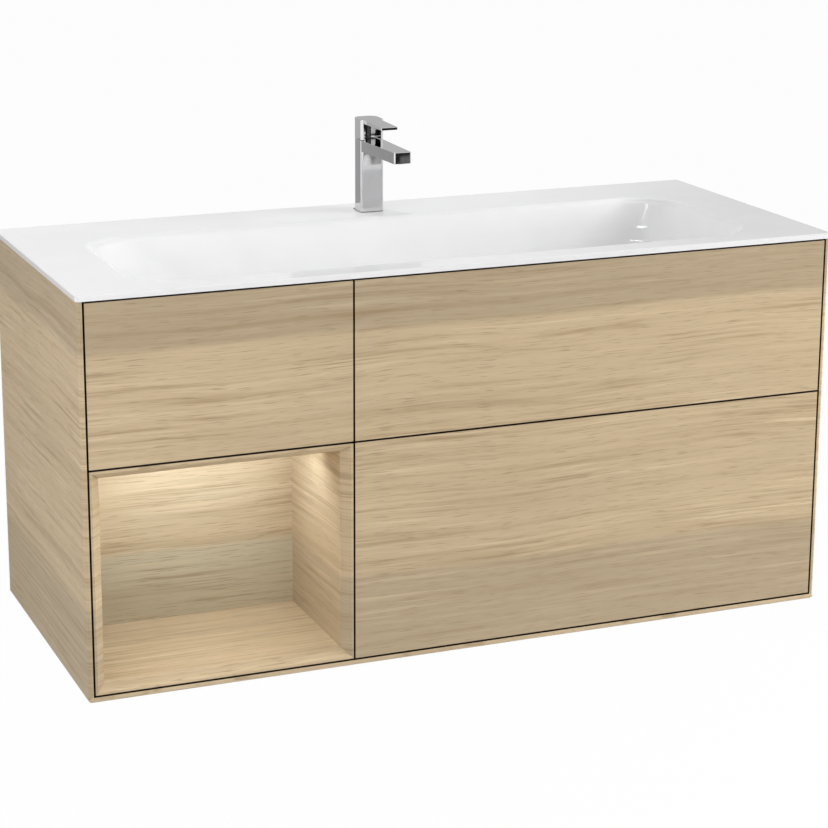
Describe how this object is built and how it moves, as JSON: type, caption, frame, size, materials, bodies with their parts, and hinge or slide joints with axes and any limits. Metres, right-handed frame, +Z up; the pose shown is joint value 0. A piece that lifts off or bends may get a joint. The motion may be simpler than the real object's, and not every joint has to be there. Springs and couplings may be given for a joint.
{
  "type": "wall-hung vanity unit",
  "caption": "Wall-hung oak vanity unit with push-to-open drawers, an open lit niche, a wide ceramic washbasin, a single-lever tap and a bottle trap.",
  "frame": {"origin": "centre of the four screw holes of the two wall plates, on the wall plane", "axes": "+X to the right along the wall seen from the front, +Y into the wall, +Z up"},
  "size_m": [1.2, 0.5, 0.75],
  "materials": {
    "oak_veneer": "satin veneer",
    "drawer_board": "satin foil",
    "zinc_steel": "zinc plated",
    "latch_plastic": "matt",
    "plunger_plastic": "matt",
    "light_aluminium": "anodised",
    "light_board": "matt",
    "light_opal": "opal",
    "basin_glaze": "gloss glaze",
    "chrome": "polished",
    "tap_brass": "machined",
    "cartridge_plastic": "matt",
    "aerator_plastic": "matt",
    "seal_rubber": "matt",
    "trap_plastic": "smooth"
  },
  "bodies": {
    "cabinet": {"bottom_panel": "oak_veneer", "cabinet_hangers": "zinc_steel", "cabinet_rails": "zinc_steel", "centre_partition": "oak_veneer", "front_rail": "oak_veneer", "latch_housings": "latch_plastic", "left_side_panel": "oak_veneer", "light_diffuser": "light_opal", "light_profile": "light_aluminium", "light_strip_board": "light_board", "lower_rear_rail": "oak_veneer", "niche_back": "oak_veneer", "niche_bottom": "oak_veneer", "niche_left": "oak_veneer", "niche_right": "oak_veneer", "niche_top": "oak_veneer", "right_side_panel": "oak_veneer", "tap_aerator": "aerator_plastic", "tap_base_seal": "seal_rubber", "tap_body": "chrome", "tap_cartridge": "cartridge_plastic", "tap_fixing_set": "tap_brass", "trap_body": "trap_plastic", "trap_cup": "trap_plastic", "trap_inlet_pipe": "trap_plastic", "trap_nuts": "trap_plastic", "trap_outlet_pipe": "trap_plastic", "upper_rear_rail": "oak_veneer", "wall_plates": "zinc_steel", "washbasin": "basin_glaze", "waste_body": "chrome", "waste_nut": "trap_plastic"},
    "upper_left_drawer": {"upper_left_drawer_front": "oak_veneer", "upper_left_drawer_left_side": "drawer_board", "upper_left_drawer_right_side": "drawer_board", "upper_left_drawer_floor": "drawer_board", "upper_left_drawer_back": "drawer_board", "upper_left_drawer_inner_rails": "zinc_steel"},
    "upper_right_drawer": {"upper_right_drawer_front": "oak_veneer", "upper_right_drawer_left_side": "drawer_board", "upper_right_drawer_right_side": "drawer_board", "upper_right_drawer_floor": "drawer_board", "upper_right_drawer_back": "drawer_board", "upper_right_drawer_inner_rails": "zinc_steel", "trap_recess_wall": "drawer_board"},
    "lower_right_drawer": {"lower_right_drawer_front": "oak_veneer", "lower_right_drawer_left_side": "drawer_board", "lower_right_drawer_right_side": "drawer_board", "lower_right_drawer_floor": "drawer_board", "lower_right_drawer_back": "drawer_board", "lower_right_drawer_inner_rails": "zinc_steel"},
    "upper_left_runners": {"upper_left_drawer_middle_rails": "zinc_steel"},
    "upper_right_runners": {"upper_right_drawer_middle_rails": "zinc_steel"},
    "lower_right_runners": {"lower_right_drawer_middle_rails": "zinc_steel"},
    "upper_left_latch_plunger": {"upper_left_latch_plunger": "plunger_plastic"},
    "upper_right_latch_plunger": {"upper_right_latch_plunger": "plunger_plastic"},
    "lower_right_latch_plunger": {"lower_right_latch_plunger": "plunger_plastic"},
    "tap_stem": {"tap_stem": "tap_brass"},
    "tap_lever": {"tap_lever": "chrome"},
    "waste_plug": {"waste_plug": "chrome"}
  },
  "joints": [
    {"name": "upper_left_drawer_slide", "type": "slide", "parent": "cabinet", "child": "upper_left_drawer", "axis": [0, -1, 0], "range_m": [0, 0.36]},
    {"name": "upper_right_drawer_slide", "type": "slide", "parent": "cabinet", "child": "upper_right_drawer", "axis": [0, -1, 0], "range_m": [0, 0.36]},
    {"name": "lower_right_drawer_slide", "type": "slide", "parent": "cabinet", "child": "lower_right_drawer", "axis": [0, -1, 0], "range_m": [0, 0.36]},
    {"name": "upper_left_runners_slide", "type": "slide", "parent": "cabinet", "child": "upper_left_runners", "axis": [0, -1, 0], "range_m": [0, 0.18]},
    {"name": "upper_right_runners_slide", "type": "slide", "parent": "cabinet", "child": "upper_right_runners", "axis": [0, -1, 0], "range_m": [0, 0.18]},
    {"name": "lower_right_runners_slide", "type": "slide", "parent": "cabinet", "child": "lower_right_runners", "axis": [0, -1, 0], "range_m": [0, 0.18]},
    {"name": "upper_left_latch_plunger_push", "type": "slide", "parent": "cabinet", "child": "upper_left_latch_plunger", "axis": [0, 1, 0], "range_m": [0, 0.0025], "stiffness_N_per_m": 800},
    {"name": "upper_right_latch_plunger_push", "type": "slide", "parent": "cabinet", "child": "upper_right_latch_plunger", "axis": [0, 1, 0], "range_m": [0, 0.0025], "stiffness_N_per_m": 800},
    {"name": "lower_right_latch_plunger_push", "type": "slide", "parent": "cabinet", "child": "lower_right_latch_plunger", "axis": [0, 1, 0], "range_m": [0, 0.0025], "stiffness_N_per_m": 800},
    {"name": "tap_turn", "type": "hinge", "parent": "cabinet", "child": "tap_stem", "pos_m": [0, -0.063, 0.2], "axis": [0, 0, 1], "range_deg": [-50, 50]},
    {"name": "tap_lift", "type": "hinge", "parent": "tap_stem", "child": "tap_lever", "pos_m": [0, -0.05225, 0.203], "axis": [-1, 0, 0], "range_deg": [0, 20]},
    {"name": "waste_plug_rise", "type": "slide", "parent": "cabinet", "child": "waste_plug", "axis": [0, 0, 1], "range_m": [0, 0.007]}
  ],
  "couplings": [
    {"joint": "upper_left_runners_slide", "follows": "upper_left_drawer_slide", "ratio": 0.5},
    {"joint": "upper_right_runners_slide", "follows": "upper_right_drawer_slide", "ratio": 0.5},
    {"joint": "lower_right_runners_slide", "follows": "lower_right_drawer_slide", "ratio": 0.5}
  ]
}
